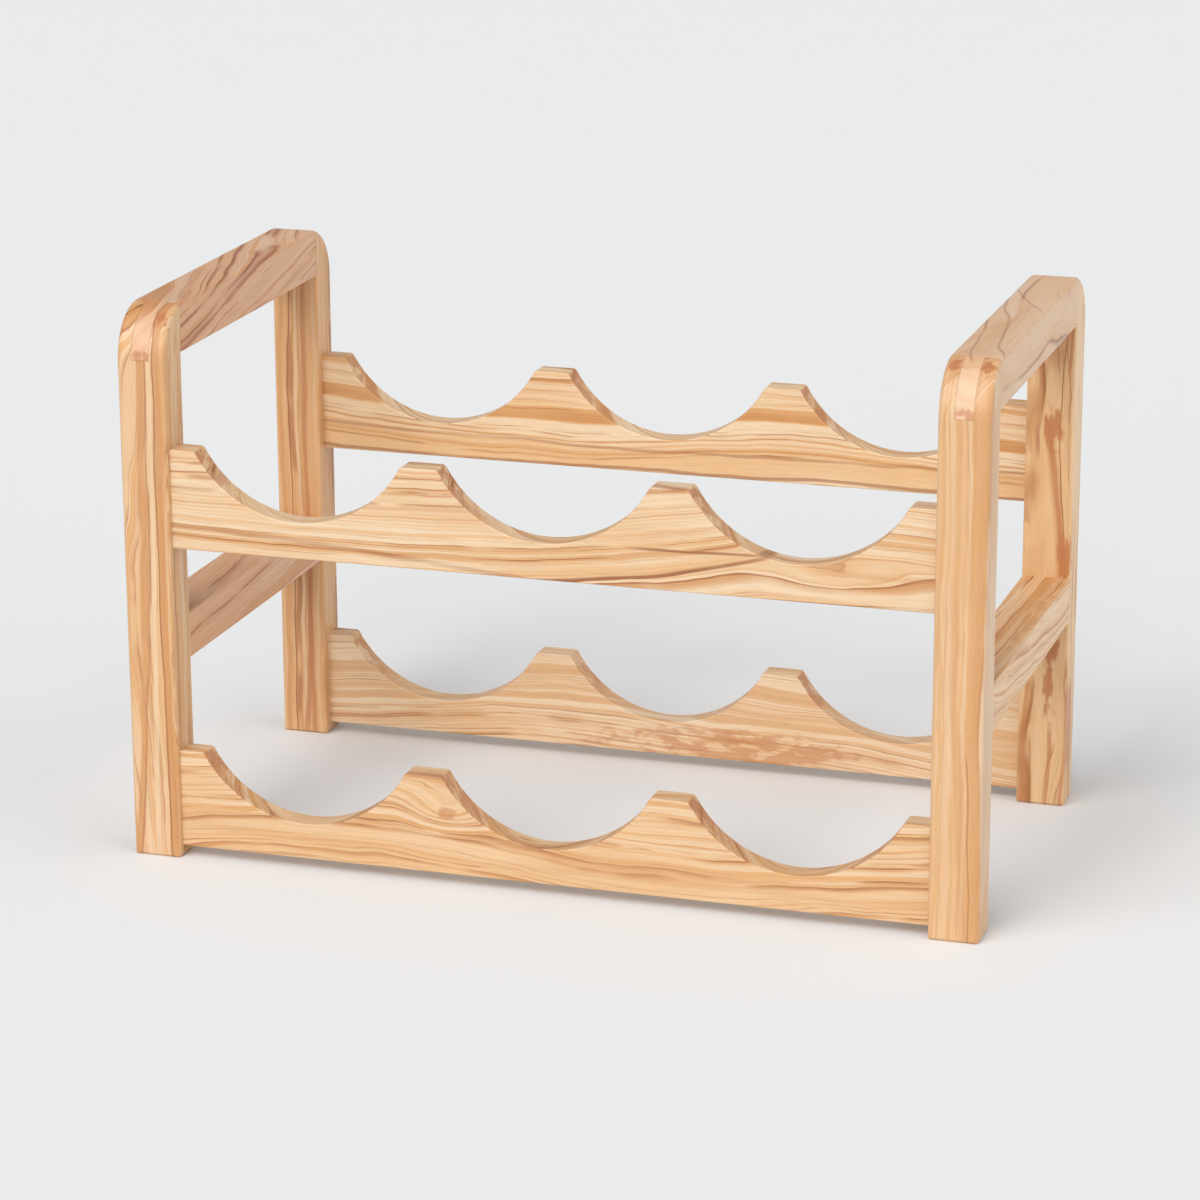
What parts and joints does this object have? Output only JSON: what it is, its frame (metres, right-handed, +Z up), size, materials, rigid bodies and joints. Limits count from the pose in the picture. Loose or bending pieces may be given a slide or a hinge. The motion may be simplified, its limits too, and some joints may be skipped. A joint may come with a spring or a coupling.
{
  "type": "table-top wine rack",
  "caption": "Two-tier table-top wine rack in olive wood: side frames joined by scalloped rails that hold bottles lying down.",
  "frame": {"origin": "on the table under the middle of the rack, bottom centre of the bounding box", "axes": "+X to the right along the bottle rails, +Y from the front to the back along the lying bottles, +Z up"},
  "size_m": [0.38, 0.198, 0.246],
  "materials": {
    "olive_wood": "oiled olive wood, satin, honey coloured with brown grain lines",
    "beech_dowel": "plain sawn beech, unfinished"
  },
  "bodies": {
    "root": {"front_left_post": "olive_wood", "front_right_post": "olive_wood", "left_mid_rail": "olive_wood", "left_mid_rail_front_dowels": "beech_dowel", "left_mid_rail_rear_dowels": "beech_dowel", "left_top_rail": "olive_wood", "lower_front_bottle_rail": "olive_wood", "lower_front_bottle_rail_left_dowels": "beech_dowel", "lower_front_bottle_rail_right_dowels": "beech_dowel", "lower_rear_bottle_rail": "olive_wood", "lower_rear_bottle_rail_left_dowels": "beech_dowel", "lower_rear_bottle_rail_right_dowels": "beech_dowel", "rear_left_post": "olive_wood", "rear_right_post": "olive_wood", "right_mid_rail": "olive_wood", "right_mid_rail_front_dowels": "beech_dowel", "right_mid_rail_rear_dowels": "beech_dowel", "right_top_rail": "olive_wood", "upper_front_bottle_rail": "olive_wood", "upper_front_bottle_rail_left_dowels": "beech_dowel", "upper_front_bottle_rail_right_dowels": "beech_dowel", "upper_rear_bottle_rail": "olive_wood", "upper_rear_bottle_rail_left_dowels": "beech_dowel", "upper_rear_bottle_rail_right_dowels": "beech_dowel"}
  },
  "joints": []
}
